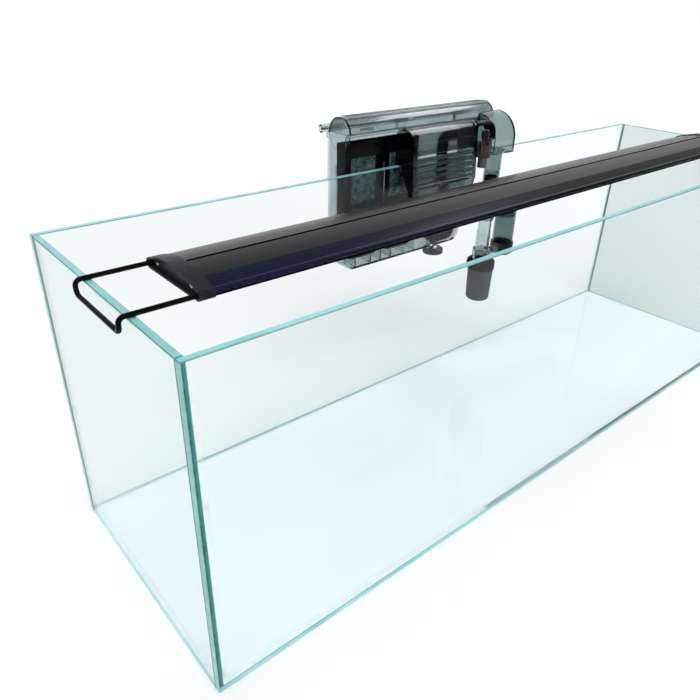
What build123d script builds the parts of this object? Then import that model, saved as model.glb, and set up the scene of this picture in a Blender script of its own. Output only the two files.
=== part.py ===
from build123d import *
import os
from math import cos, pi, sin, sqrt

os.makedirs("parts", exist_ok=True)

# The origin is the middle of the tank's underside. X runs along the length to the right,
# Y from the front pane to the back pane, Z up. All lengths are millimetres.

# Tank: five panes of float glass glued with clear silicone
tank_length = 900.0
tank_width = 258.0
tank_height = 290.0
glass = 6.0
glass_chamfer = 0.7
silicone_film = 0.6
silicone_bead = 4.0

# Clearances shared by the whole assembly
seat_gap = 0.3
slip_fit = 0.2
running_fit = 0.06

# How far a cut runs past the surface that it opens
over = 1.0

# Light: an arched aluminium bar carried by two sliding wire legs
light_end_gap = 47.0
light_width = 78.0
light_forward = 26.0
light_crown = 9.7
light_edge_radius = 3.2
light_wall = 1.5
web_thickness = 1.2
web_height = 1.6
cap_length = 12.0
cap_proud = 0.8
cap_rim = 1.6
cap_recess = 3.5
cap_screw_offset = 25.0
cap_screw_rise = 3.3
cap_screw_radius = 1.25
cap_screw_head_radius = 2.0
cap_screw_head_height = 1.6
cap_screw_length = 16.0
cap_screw_slot = 0.6
cap_screw_slot_length = 2.8
screw_column = 5.4
crown_groove_offset = 1.0
crown_groove_radius = 0.7
ridge_count = 13
ridge_start = -35.0
ridge_pitch = 0.9
ridge_radius = 0.28
lens_thickness = 1.2
lens_lip = 1.2
lens_lip_height = 0.7
board_width = 46.0
board_thickness = 1.2
chip_size = 5.0
chip_height = 0.7
chip_columns = 36
chip_rows = 3
chip_row_pitch = 14.0
chip_margin = 30.0
board_margin = 5.0
light_gland_rise = 2.2
light_gland_radius = 4.0
light_gland_bore = 2.4
light_gland_length = 8.0

# Wire legs
wire_radius = 1.8
leg_reach = 6.0
leg_drop = 10.3
leg_bend = 4.5
leg_engagement = 75.0

# Hang-on filter: smoke-clear body behind the back pane
filter_left = -120.0
filter_body_width = 198.0
filter_body_depth = 31.5
filter_body_gap = 1.5
filter_body_drop = 114.0
filter_rim_rise = 41.0
filter_wall = 2.0
filter_corner = 14.0
bridge_reach = 35.0
divider_thickness = 1.6
divider_height = 120.0
flange_thickness = 2.0
bridge_lift = 1.5

# Lid with its rear hinge
lid_end_lap = 2.0
lid_radius = 17.5
lid_wall = 1.8
lid_axis_behind_pane = 11.5
lid_rib_radius = 0.8
lid_rib_angles = (62.0, 84.0, 106.0, 128.0)
hinge_behind_axis = 26.0
hinge_rise = 2.0
hinge_barrel_radius = 4.5
hinge_pin_radius = 1.5
hinge_arm_thickness = 4.0
knuckle_length = 12.0
knuckle_gap = 0.5
hinge_stub = 7.0
knuckle_inset = 1.0
knuckle_end_inset = 4.0
knuckle_foot = 8.0
pin_inset = 2.0
lid_rib_inset = 6.0
lid_grip_count = 8
lid_grip_pitch = 2.6
lid_grip_inset = 14.0
lid_grip_height = 7.0
end_disc_thickness = 1.5

# Outlet spout over the back pane
spout_inset = 15.0
spout_width = 108.0
spout_rise = 42.5
spout_front_radius = 17.0
spout_to_lid = 1.0
spout_lid_gap = 0.5
spout_wall = 2.0
spout_shoulder_from_pane = 21.0
spout_chin_from_pane = 24.5
spout_chin_drop = 22.0
spout_tip_from_pane = 21.5
spout_tip_thickness = 2.5
spout_tip_drop = 34.0
spout_tip_solid = 10.0
weir_rise = 10.0
louvre_count = 6
louvre_height = 3.0
louvre_pitch = 7.0
louvre_first_drop = 24.0
louvre_margin = 6.0
louvre_depth = 7.0

# Intake side: elbow, telescopic tube, strainer and sponge
elbow_body_gap = 6.0
elbow_width = 39.0
elbow_top_rise = 48.5
elbow_skirt_rise = 2.0
elbow_front_from_pane = 32.0
elbow_back_from_pane = 0.7
elbow_wall = 2.0
spigot_inset = 4.0
spigot_width = 22.0
spigot_height = 28.0
spigot_reach = 4.5
intake_inset = 18.0
intake_from_pane = 18.5
sleeve_radius = 10.5
sleeve_wall = 1.5
sleeve_drop = 85.0
sleeve_flange_radius = 11.3
sleeve_flange_thickness = 2.5
inner_tube_wall = 1.5
inner_tube_clearance = 0.3
inner_tube_top_drop = 22.0
inner_tube_drop = 140.0
seal_drop = 28.0
seal_height = 6.0
seal_groove = 0.8
rib_count = 4
rib_pitch = 5.0
rib_height = 0.8
rib_length = 2.0
rib_first_gap = 6.0
strainer_radius = 17.3
collar_radius = 18.1
strainer_collar_height = 13.0
strainer_core_radius = 8.5
strainer_core_wall = 1.5
strainer_core_length = 39.5
strainer_slots = 8
strainer_slot_width = 2.0
strainer_slot_margin = 6.0
collar_round = 4.0
sponge_length = 45.0
sponge_floor = 5.0
sponge_taper = 1.2
sponge_round = 4.0

# Surface skimmer beside the intake tube
skimmer_offset = 43.0
skimmer_radius = 14.0
skimmer_wall = 1.4
skimmer_drop = 56.0
skimmer_cup_radius = 15.6
skimmer_cup_height = 17.0
skimmer_cup_floor = 3.0
skimmer_seat_depth = 8.0
branch_radius = 5.8
branch_bore = 4.0
tee_ring_radius = 12.0
tee_ring_height = 13.0
tee_ring_gap = 1.0
skimmer_cup_chamfer = 5.0
float_length = 36.0
float_radius = 11.6
float_wall = 1.4
float_seat_height = 2.0
crown_height = 13.0
crown_wall = 1.4
crown_slots = 10
crown_overlap = 5.0
crown_slot_width = 3.4
crown_slot_height = 9.0
crown_ring = 2.0

# Pump in the right-hand chamber
pump_inset = 28.0
motor_width = 44.0
motor_depth = 25.5
motor_height = 35.0
rotor_radius = 8.0
rotor_clearance = 0.5
rotor_length = 25.0
motor_floor = 6.0
shaft_radius = 1.5
blade_radius = 10.0
blade_height = 9.0
blade_count = 6
blade_thickness = 1.4
volute_radius = 12.5
volute_wall = 1.6
volute_height = 14.0
riser_radius = 7.0
riser_bore = 5.2
riser_bend = 9.0
riser_plate = 1.5
rotor_neck = 2.0
blade_clearance = 0.6
hub_plate = 1.2
motor_corner = 3.0
shaft_boss_wall = 1.2
shaft_boss_drop = 1.5
spider_width = 2.0
outlet_width = 8.0
outlet_height = 7.0
outlet_rise = 3.0
filter_gland_radius = 4.5
filter_gland_bore = 2.6
filter_gland_length = 8.0
filter_gland_rise = 24.0
filter_gland_offset = 11.0
gland_chamfer = 0.8

# Filter cartridges
cartridge_width = 54.0
cartridge_depth = 14.0
cartridge_front_gap = 1.7
cartridge_rest = 9.0
cartridge_pitch = 57.4
cartridge_wall = 2.5
cartridge_basket_height = 125.0
cartridge_height = 133.0
cartridge_handle = 8.0
cartridge_handle_gap = 2.0
cartridge_bar = 6.0
window_margin = 8.0
slot_width = 1.6
slot_height = 34.0
slot_inset = 4.6
rest_rib_thickness = 2.0
rest_rib_offset = 12.0
rail_reach = 5.0
rail_thickness = 1.6

# Flow valve and levelling wheel
valve_spout_gap = 10.5
valve_from_pane = 24.0
valve_knob_radius = 9.0
valve_knob_height = 20.0
valve_stem_radius = 5.8
valve_stem_length = 12.5
valve_spindle_radius = 3.0
valve_spindle_length = 11.0
valve_flutes = 10
valve_arm_lead = 31.0
valve_arm_round = 3.0
valve_arm_brow = 14.0
valve_spindle_play = 1.0
wheel_inset = 34.0
wheel_radius = 13.5
wheel_thickness = 6.0
wheel_throw = 3.0
wheel_boss_radius = 8.0
wheel_boss_height = 9.0
wheel_stem_radius = 3.0
wheel_stem_length = 8.0
wheel_flutes = 18
flute_radius = 1.2
flute_reach = 0.5

# Places worked out from the dimensions above
half_length = tank_length / 2
half_width = tank_width / 2
pane_front = half_width - glass
pane_back = half_width
rim = tank_height
light_length = tank_length - 2 * light_end_gap
light_y = -light_forward
rod_z = rim + wire_radius + seat_gap
rod_offset = light_width / 2 - light_edge_radius
body_front = pane_back + filter_body_gap
body_back = body_front + filter_body_depth
body_left = filter_left
body_right = filter_left + filter_body_width
body_floor = rim - filter_body_drop
body_rim = rim + filter_rim_rise
bridge_right = body_right + bridge_reach
saddle_z = rim + seat_gap
lid_y = pane_back + lid_axis_behind_pane
lid_front = lid_y - lid_radius
lid_right = bridge_right + lid_end_lap
hinge_y = lid_y + hinge_behind_axis
hinge_z = body_rim + hinge_rise
spout_right = body_right - spout_inset
spout_left = spout_right - spout_width
elbow_left = body_right + elbow_body_gap
intake_x = elbow_left + intake_inset
intake_y = pane_front - intake_from_pane
skimmer_x = intake_x + skimmer_offset
chamber_y = (body_front + body_back) / 2
pump_x = body_right - pump_inset
cartridge_front = body_front + filter_wall + cartridge_front_gap
cartridge_back = cartridge_front + cartridge_depth
cartridge_low = body_floor + filter_wall + cartridge_rest + seat_gap
inner_tube_bottom = rim - inner_tube_drop
skimmer_top = rim - skimmer_drop
inner_tube_radius = sleeve_radius - sleeve_wall - inner_tube_clearance
inner_tube_bore = inner_tube_radius - inner_tube_wall
tee_low = inner_tube_bottom + tee_ring_gap
branch_z = tee_low + tee_ring_height / 2
cup_low = branch_z - skimmer_cup_floor - branch_radius
skimmer_low = cup_low + skimmer_cup_height - skimmer_seat_depth
float_low = skimmer_top - float_length + crown_overlap
valve_x = spout_right + valve_spout_gap
valve_y = pane_front - valve_from_pane
valve_arm_low = saddle_z + valve_knob_height + seat_gap
wheel_x = body_right - wheel_inset
wheel_y = pane_back + seat_gap + wheel_radius + wheel_throw
spout_step = body_rim - spout_lid_gap
motor_low = body_floor + filter_wall
motor_top = motor_low + motor_height
spigot_left = elbow_left + spigot_inset
spigot_low = rim + elbow_skirt_rise + spigot_inset
spigot_back = body_front + spigot_reach
riser_top = spigot_low + spigot_height / 2


def block(x0, x1, y0, y1, z0, z1):
    """A box between two corners."""
    return Pos((x0 + x1) / 2, (y0 + y1) / 2, (z0 + z1) / 2) * Box(x1 - x0, y1 - y0, z1 - z0)


def span(a, b):
    """Two coordinates in rising order."""
    return min(a, b), max(a, b)


def post(x, y, z0, z1, radius):
    """An upright cylinder."""
    return Pos(x, y, (z0 + z1) / 2) * Cylinder(radius, z1 - z0)


def pipe(x, y, z0, z1, outer, inner):
    """An upright tube, open at both ends."""
    return post(x, y, z0, z1, outer) - post(x, y, z0 - over, z1 + over, inner)


def bar_x(x0, x1, y, z, radius):
    """A cylinder along X."""
    return Pos((x0 + x1) / 2, y, z) * Rot(0, 90, 0) * Cylinder(radius, x1 - x0)


def bar_y(x, y0, y1, z, radius):
    """A cylinder along Y."""
    return Pos(x, (y0 + y1) / 2, z) * Rot(90, 0, 0) * Cylinder(radius, y1 - y0)


def along_x(face, x0, x1):
    """A section drawn in Y and Z, drawn out along X."""
    return Pos(x0, 0, 0) * extrude(Plane.YZ * face, amount=x1 - x0)


def save(shape, name):
    export_step(shape, "parts/" + name + ".step")


# Tank panes

def long_pane(side):
    """Front or back pane: covers the edges of the end panes."""
    y0, y1 = span(side * pane_front, side * half_width)
    pane = block(-half_length, half_length, y0, y1, 0, tank_height)
    return chamfer(pane.edges(), glass_chamfer)


def end_pane(side):
    """End pane between the two long panes, with its top edges eased."""
    x0, x1 = span(side * (half_length - glass), side * half_length)
    reach = pane_front - silicone_film
    pane = block(x0, x1, -reach, reach, 0, tank_height)
    return chamfer(pane.edges().group_by(Axis.Z)[-1], glass_chamfer)


def bottom_pane():
    """Floor pane, glued inside the four walls."""
    reach_x = half_length - glass - silicone_film
    reach_y = pane_front - silicone_film
    return block(-reach_x, reach_x, -reach_y, reach_y, 0, glass)


def silicone():
    """The glue films between the panes and the beads in the inner corners."""
    wall_x = half_length - glass
    wall_y = pane_front
    seams = block(-wall_x, wall_x, -wall_y, wall_y, 0, glass)
    seams -= block(
        -wall_x + silicone_film, wall_x - silicone_film,
        -wall_y + silicone_film, wall_y - silicone_film, -over, glass + over,
    )
    top = tank_height - glass_chamfer
    triangle = Polyline((0, 0), (silicone_bead, 0), (0, silicone_bead), close=True)
    bead_face = make_face(triangle.edges())
    upright = extrude(bead_face, amount=top - glass)
    for sx in (-1, 1):
        for sy in (-1, 1):
            x0, x1 = span(sx * wall_x, sx * half_length)
            y0, y1 = span(sy * (wall_y - silicone_film), sy * wall_y)
            seams += block(x0, x1, y0, y1, 0, top)
            turn = {(-1, -1): 0, (1, -1): 90, (1, 1): 180, (-1, 1): 270}[(sx, sy)]
            seams += Pos(sx * wall_x, sy * wall_y, glass) * Rot(0, 0, turn) * upright
    for sy in (-1, 1):
        run = extrude(Plane.YZ * bead_face, amount=2 * wall_x)
        run = run if sy < 0 else mirror(run, Plane.XZ)
        seams += Pos(-wall_x, sy * wall_y, glass) * run
    for sx in (-1, 1):
        run = extrude(Plane.XZ * bead_face, amount=-2 * wall_y)
        run = run if sx < 0 else mirror(run, Plane.YZ)
        seams += Pos(sx * wall_x, -wall_y, glass) * run
    return seams


# Light

def arch_height(offset, crown, half, shoulder):
    """Height of the arched top over the rods at a distance from the middle."""
    sag = crown - shoulder
    radius = (half ** 2 + sag ** 2) / (2 * sag)
    return crown - radius + sqrt(radius ** 2 - offset ** 2)


def light_face(grow):
    """The light's outer section about the rod line: arched top, round edges, flat underside."""
    half = rod_offset
    edge = light_edge_radius + grow
    crown = light_crown + grow
    sides = Line((-half, -edge), (half, -edge)) + Line((half, -edge), (half, edge))
    sides += ThreePointArc((half, edge), (0, crown), (-half, edge)) + Line((-half, edge), (-half, -edge))
    face = make_face(sides.edges())
    face += Pos(half, 0) * Circle(edge)
    face += Pos(-half, 0) * Circle(edge)
    return face


def light_cavity():
    """The hollow of the extrusion: the lamp bay below the web and the void above it."""
    reach = rod_offset - light_edge_radius - light_wall
    top = light_crown - light_wall
    web_top = web_height + web_thickness
    arch = arch_height(reach, top, rod_offset, light_edge_radius - light_wall / 2)
    sides = Line((-reach, web_top), (reach, web_top)) + Line((reach, web_top), (reach, arch))
    sides += ThreePointArc((reach, arch), (0, top), (-reach, arch)) + Line((-reach, arch), (-reach, web_top))
    void = make_face(sides.edges())
    for side in (-1, 1):
        void -= Pos(side * cap_screw_offset, 0) * Rectangle(screw_column, 4 * light_crown)
    under = -light_edge_radius
    bay_low = under + lens_lip_height
    bay = Pos(0, (bay_low + web_height) / 2) * Rectangle(2 * reach, web_height - bay_low)
    mouth = Pos(0, under) * Rectangle(2 * (reach - lens_lip), 4 * lens_lip_height)
    return void + bay + mouth


def light_housing():
    """Black aluminium extrusion with a crown groove and fine ridges on the front slope."""
    face = light_face(0) - light_cavity()
    half = rod_offset
    for y in [crown_groove_offset] + [ridge_start + ridge_pitch * n for n in range(ridge_count)]:
        radius = crown_groove_radius if y == crown_groove_offset else ridge_radius
        height = arch_height(y, light_crown, half, light_edge_radius)
        face -= Pos(y, height) * Circle(radius)
    for side in (-1, 1):
        face -= Pos(side * half, 0) * Circle(wire_radius + slip_fit)
        face -= Pos(side * cap_screw_offset, cap_screw_rise) * Circle(cap_screw_radius)
    reach = light_length / 2 - cap_length
    return Pos(0, light_y, rod_z) * along_x(face, -reach, reach)


def light_cap(side):
    """End cap: proud of the bar, with a recessed end face, rod holes and screw holes."""
    inner_x = light_length / 2 - cap_length
    outer_x = light_length / 2
    cap = along_x(light_face(cap_proud), inner_x, outer_x)
    cap -= along_x(light_face(cap_proud - cap_rim), outer_x - cap_recess, outer_x + over)
    for offset in (-1, 1):
        cap -= bar_x(inner_x - over, outer_x + over, offset * rod_offset, 0, wire_radius + slip_fit)
        cap -= bar_x(inner_x - over, outer_x, offset * cap_screw_offset, cap_screw_rise, cap_screw_radius)
    if side > 0:
        cap -= bar_x(inner_x - over, outer_x, 0, light_gland_rise, light_gland_bore)
    cap = cap if side > 0 else mirror(cap, Plane.YZ)
    return Pos(0, light_y, rod_z) * cap


def cap_screws():
    """Four cap screws with cross slots, two at each end."""
    head_x = light_length / 2 - cap_recess
    screws = []
    for side in (-1, 1):
        for offset in (-1, 1):
            y = light_y + offset * cap_screw_offset
            z = rod_z + cap_screw_rise
            screw = bar_x(head_x - cap_screw_length, head_x, y, z, cap_screw_radius)
            screw += bar_x(head_x, head_x + cap_screw_head_height, y, z, cap_screw_head_radius)
            face_x = head_x + cap_screw_head_height
            for turn in (0, 90):
                cut = Box(cap_screw_head_height, cap_screw_slot, cap_screw_slot_length)
                screw -= Pos(face_x, y, z) * Rot(turn, 0, 0) * cut
            screws.append(screw if side > 0 else mirror(screw, Plane.YZ))
    return Compound(children=screws)


def lens_plate():
    """Clear cover that slides in above the lips of the housing."""
    reach = rod_offset - light_edge_radius - light_wall - slip_fit
    z0 = rod_z - light_edge_radius + lens_lip_height
    end = light_length / 2 - cap_length
    return block(-end, end, light_y - reach, light_y + reach, z0, z0 + lens_thickness)


def led_board():
    """White circuit board glued under the web."""
    z1 = rod_z + web_height
    end = light_length / 2 - cap_length - board_margin
    return block(-end, end, light_y - board_width / 2, light_y + board_width / 2, z1 - board_thickness, z1)


def led_chips():
    """Rows of lamps under the board."""
    z1 = rod_z + web_height - board_thickness
    run = light_length - 2 * cap_length - 2 * chip_margin
    pitch = run / (chip_columns - 1)
    chips = []
    for row in range(chip_rows):
        y = light_y + (row - (chip_rows - 1) / 2) * chip_row_pitch
        for column in range(chip_columns):
            x = -run / 2 + column * pitch
            chips.append(Pos(x, y, z1 - chip_height / 2) * Box(chip_size, chip_size, chip_height))
    return Compound(children=chips)


def light_gland():
    """Cord inlet on the right end cap."""
    x0 = light_length / 2 - cap_recess
    z = rod_z + light_gland_rise
    gland = bar_x(x0, x0 + light_gland_length, light_y, z, light_gland_radius)
    gland = chamfer(gland.edges().group_by(Axis.X)[-1], gland_chamfer)
    return gland - bar_x(x0 - over, x0 + light_gland_length + over, light_y, z, light_gland_bore)


def wire_leg(side):
    """Bent wire: two arms in the housing's channels, a drop outside the glass and a cross rod."""
    inner = light_length / 2 - cap_length - leg_engagement
    outer = half_length + leg_reach
    front = light_y - rod_offset
    back = light_y + rod_offset
    low = rod_z - leg_drop
    path = FilletPolyline(
        (inner, front, rod_z), (outer, front, rod_z), (outer, front, low),
        (outer, back, low), (outer, back, rod_z), (inner, back, rod_z),
        radius=leg_bend,
    )
    section = Plane(origin=path @ 0, z_dir=path % 0) * Circle(wire_radius)
    leg = sweep(section, path=path)
    return leg if side > 0 else mirror(leg, Plane.YZ)


# Filter body

def body_block(inset, top):
    """The filter box with rounded lower corners, drawn in by the inset."""
    box = block(
        body_left + inset, body_right - inset, body_front + inset, body_back - inset,
        body_floor + inset, top,
    )
    low_edges = box.edges().filter_by(Axis.Y).group_by(Axis.Z)[0]
    return fillet(low_edges, filter_corner - inset)


def knuckle_places():
    """X ranges of the hinge knuckles on the body; each lid knuckle stands to the right of one."""
    middle = (body_left + lid_right) / 2
    last = lid_right - 2 * knuckle_length - knuckle_end_inset
    return [body_left + knuckle_inset, middle - knuckle_length, last]


def barrel(x0, x1):
    """A hinge barrel along the pin."""
    return bar_x(x0, x1, hinge_y, hinge_z, hinge_barrel_radius)


def filter_shell():
    """Outer form of the body: box, intake bridge, saddle flanges, valve arm, boss and knuckles."""
    bridge_low = saddle_z + bridge_lift
    body = body_block(0, body_rim)
    body += block(body_right - filter_wall, bridge_right, body_front, body_back, bridge_low, body_rim)
    flange_z = body_rim - flange_thickness
    body += block(body_left, spout_left - slip_fit, lid_front, body_front, flange_z, body_rim)
    body += block(spout_right + slip_fit, bridge_right, lid_front, body_front, flange_z, body_rim)
    body += valve_arm()
    boss_low = body_floor - wheel_boss_height
    body += post(wheel_x, wheel_y, boss_low, body_floor + filter_wall, wheel_boss_radius)
    disc = bar_x(body_left - end_disc_thickness, body_left, lid_y, body_rim, lid_radius)
    lower_half = block(
        body_left - end_disc_thickness, body_left, lid_front, lid_y + lid_radius, body_floor, body_rim,
    )
    body += disc & lower_half
    for x0 in knuckle_places():
        body += barrel(x0, x0 + knuckle_length)
        foot_z = body_rim - knuckle_foot
        body += block(x0, x0 + knuckle_length, body_back - filter_wall, hinge_y, foot_z, hinge_z)
    first = knuckle_places()[0]
    return body + barrel(first - hinge_stub, first + over)


def valve_arm():
    """Arm over the valve, with a rounded brow that carries on from the spout's to the elbow."""
    x0 = spout_right + slip_fit
    x1 = elbow_left - slip_fit
    front = pane_front - valve_arm_lead
    step_y = lid_front - spout_to_lid
    arm = block(x0, x1, front, step_y, valve_arm_low, rim + spout_rise)
    front_edges = arm.edges().filter_by(Axis.X).group_by(Axis.Y)[0].sort_by(Axis.Z)
    arm = fillet(front_edges[1], valve_arm_brow)
    front_edge = arm.edges().filter_by(Axis.X).group_by(Axis.Z)[0].sort_by(Axis.Y)[0]
    arm = fillet(front_edge, valve_arm_round)
    return arm + block(x0, x1, step_y - over, body_front, valve_arm_low, spout_step)


def filter_body():
    """Smoke-clear body with its chambers, weir, spigot hole, bores and dividers."""
    wall = filter_wall
    body = filter_shell() - body_block(wall, body_rim + over)
    body -= block(
        body_right - wall - over, bridge_right - wall, body_front + wall, body_back - wall,
        saddle_z + bridge_lift + wall, body_rim + over,
    )
    body -= block(
        spout_left + spout_wall, spout_right - spout_wall, body_front - over, body_front + wall + over,
        rim + weir_rise, spout_step - spout_wall,
    )
    body -= spigot(slip_fit)
    first_pin = knuckle_places()[0] - hinge_stub + pin_inset
    body -= bar_x(first_pin, lid_right, hinge_y, hinge_z, hinge_pin_radius)
    spindle_top = valve_arm_low + valve_spindle_length
    body -= post(valve_x, valve_y, valve_arm_low - over, spindle_top, valve_spindle_radius + running_fit)
    stem_low = body_floor - wheel_boss_height
    body -= post(
        wheel_x, wheel_y, stem_low - over, stem_low + wheel_stem_length + seat_gap,
        wheel_stem_radius + running_fit,
    )
    for n in (1, 2):
        x1 = body_left + wall + n * cartridge_pitch
        body += block(
            x1 - divider_thickness, x1, body_front + wall / 2, body_back - wall / 2,
            body_floor + wall / 2, body_floor + divider_height,
        )
    for index in (0, 1):
        body += cartridge_seat(index)
    return body


def cartridge_seat(index):
    """Two floor ribs under a cartridge and the two rails behind it."""
    x0 = body_left + filter_wall + index * cartridge_pitch
    x1 = x0 + cartridge_pitch - divider_thickness
    root = body_floor + filter_wall / 2
    top = cartridge_low - seat_gap
    rail_front = cartridge_back + seat_gap
    rail_top = body_floor + divider_height
    overlap = divider_thickness / 2
    seat = []
    for offset in (-rest_rib_offset, rest_rib_offset):
        x = (x0 + x1) / 2 + offset
        seat.append(block(
            x - rest_rib_thickness / 2, x + rest_rib_thickness / 2,
            body_front + filter_wall / 2, body_back - filter_wall / 2, root, top,
        ))
    for a, b in ((x0 - overlap, x0 + rail_reach), (x1 - rail_reach, x1 + overlap)):
        seat.append(block(a, b, rail_front, rail_front + rail_thickness, cartridge_low, rail_top))
    return seat


def spigot(grow):
    """The elbow's spigot that enters the bridge, larger by the given amount."""
    return block(
        spigot_left - grow, spigot_left + spigot_width + grow,
        pane_front - elbow_back_from_pane - elbow_wall, spigot_back,
        spigot_low - grow, spigot_low + spigot_height + grow,
    )


def filter_lid():
    """Half-round lid with closed ends, ribs along its top and three hinge arms."""
    lid = bar_x(body_left, lid_right, lid_y, body_rim, lid_radius)
    lid += bar_x(body_left - end_disc_thickness, body_left, lid_y, body_rim, lid_radius)
    for angle in lid_rib_angles:
        turn = angle * pi / 180
        y = lid_y - lid_radius * cos(turn)
        z = body_rim + lid_radius * sin(turn)
        lid += bar_x(body_left + lid_rib_inset, lid_right - lid_rib_inset, y, z, lid_rib_radius)
    for n in range(lid_grip_count):
        x = body_left + lid_grip_inset + n * lid_grip_pitch
        lid += post(x, lid_front + lid_rib_radius / 2, body_rim, body_rim + lid_grip_height, lid_rib_radius)
    lid -= bar_x(body_left + lid_wall, lid_right - lid_wall, lid_y, body_rim, lid_radius - lid_wall)
    lid -= block(
        body_left - end_disc_thickness - over, lid_right + over, lid_front - over, hinge_y,
        body_rim - lid_radius - over, body_rim + seat_gap,
    )
    for x0 in knuckle_places():
        a0 = x0 + knuckle_length + knuckle_gap
        a1 = a0 + knuckle_length - knuckle_gap
        arm = block(
            a0, a1, lid_y + lid_radius - lid_wall, hinge_y,
            hinge_z - hinge_arm_thickness / 2 + seat_gap, hinge_z + hinge_arm_thickness / 2,
        )
        lid += arm + barrel(a0, a1)
        lid -= bar_x(a0 - over, a1 + over, hinge_y, hinge_z, hinge_pin_radius + running_fit)
    return lid


def hinge_pin():
    """Steel pin through the body's and the lid's knuckles."""
    places = knuckle_places()
    last = places[-1] + 2 * knuckle_length
    return bar_x(places[0] - hinge_stub + pin_inset, last, hinge_y, hinge_z, hinge_pin_radius)


# Outlet spout

def spout_face(inset):
    """Section of the spout: saddle over the rim, rounded brow, tapered lip inside the tank."""
    shoulder = pane_front - spout_shoulder_from_pane
    chin = pane_front - spout_chin_from_pane
    tip = pane_front - spout_tip_from_pane
    back = pane_front - seat_gap - spout_to_lid
    top = rim + spout_rise
    step_y = lid_front - spout_to_lid
    knee = top - spout_front_radius
    centre = shoulder + spout_front_radius
    reach = spout_front_radius - inset
    half = reach * sqrt(0.5)
    low = rim - spout_tip_drop + (spout_tip_solid if inset else 0)
    lines = Polyline(
        (centre, top - inset), (step_y - inset, top - inset), (step_y - inset, spout_step - inset),
        (body_front, spout_step - inset), (body_front, saddle_z + inset), (back - inset, saddle_z + inset),
        (tip + spout_tip_thickness - inset / 2, low), (tip + inset / 2, low),
        (chin + inset, rim - spout_chin_drop + inset), (shoulder + inset, knee),
    )
    arc = ThreePointArc((shoulder + inset, knee), (centre - half, knee + half), (centre, top - inset))
    return make_face((lines + arc).edges())


def outlet_spout():
    """Hollow spout: open towards the body, louvred low on its front."""
    spout = along_x(spout_face(0), spout_left, spout_right)
    spout -= along_x(spout_face(spout_wall), spout_left + spout_wall, spout_right - spout_wall)
    chin = pane_front - spout_chin_from_pane
    for n in range(louvre_count):
        z = rim - louvre_first_drop + n * louvre_pitch
        spout -= block(
            spout_left + louvre_margin, spout_right - louvre_margin, chin - over, chin + louvre_depth,
            z, z + louvre_height,
        )
    return spout


# Intake

def elbow_face(inset):
    """Quarter-round section of the elbow over the rim."""
    back = pane_front - elbow_back_from_pane
    front = pane_front - elbow_front_from_pane
    knee = rim + elbow_top_rise - (back - front)
    low = rim + elbow_skirt_rise + inset
    reach = back - front - inset
    half = reach * sqrt(0.5)
    peak = knee + sqrt(reach ** 2 - inset ** 2)
    lines = Polyline((back - inset, peak), (back - inset, low), (front + inset, low), (front + inset, knee))
    arc = ThreePointArc((front + inset, knee), (back - half, knee + half), (back - inset, peak))
    return make_face((lines + arc).edges())


def intake_elbow():
    """Clear cover that carries the water from the tube over the rim into the bridge."""
    right = elbow_left + elbow_width
    elbow = along_x(elbow_face(0), elbow_left, right) + spigot(0)
    elbow -= along_x(elbow_face(elbow_wall), elbow_left + elbow_wall, right - elbow_wall)
    elbow -= block(
        spigot_left + elbow_wall, spigot_left + spigot_width - elbow_wall,
        pane_front - elbow_back_from_pane - elbow_wall - over, spigot_back + over,
        spigot_low + elbow_wall, spigot_low + spigot_height - elbow_wall,
    )
    skirt = rim + elbow_skirt_rise
    hole = sleeve_radius + slip_fit
    return elbow - post(intake_x, intake_y, skirt - over, skirt + elbow_wall + over, hole)


def intake_sleeve():
    """Upper intake tube, hung by its flange inside the elbow."""
    flange_z = rim + elbow_skirt_rise + elbow_wall
    sleeve = post(intake_x, intake_y, rim - sleeve_drop, flange_z + sleeve_flange_thickness, sleeve_radius)
    sleeve += post(intake_x, intake_y, flange_z, flange_z + sleeve_flange_thickness, sleeve_flange_radius)
    low = rim - sleeve_drop
    top = flange_z + sleeve_flange_thickness
    return sleeve - post(intake_x, intake_y, low - over, top + over, sleeve_radius - sleeve_wall)


def intake_inner_tube():
    """Lower intake tube: slides in the sleeve, with a seal groove and grip ribs."""
    top = rim - inner_tube_top_drop
    tube = post(intake_x, intake_y, inner_tube_bottom, top, inner_tube_radius)
    rib_base = tee_low + tee_ring_height + rib_first_gap
    for n in range(rib_count):
        z = rib_base + n * rib_pitch
        tube += post(intake_x, intake_y, z, z + rib_length, inner_tube_radius + rib_height)
    seal_top = rim - seal_drop
    tube -= pipe(
        intake_x, intake_y, seal_top - seal_height, seal_top,
        inner_tube_radius + over, inner_tube_radius - seal_groove,
    )
    tube -= post(intake_x, intake_y, inner_tube_bottom - over, top + over, inner_tube_bore)
    return tube - bar_x(intake_x, intake_x + sleeve_radius, intake_y, branch_z, branch_bore)


def intake_seal():
    """Dark red ring in the groove of the lower tube."""
    top = rim - seal_drop
    ring_outer = sleeve_radius - sleeve_wall - running_fit
    return pipe(intake_x, intake_y, top - seal_height, top, ring_outer, inner_tube_radius - seal_groove)


def strainer_collar():
    """Black collar that joins the tube to the strainer."""
    top = inner_tube_bottom
    low = top - strainer_collar_height
    collar = post(intake_x, intake_y, low, top, collar_radius)
    collar = fillet(collar.edges().group_by(Axis.Z)[-1], collar_round)
    bore = strainer_core_radius - strainer_core_wall
    return collar - post(intake_x, intake_y, low - over, top + over, bore)


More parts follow.
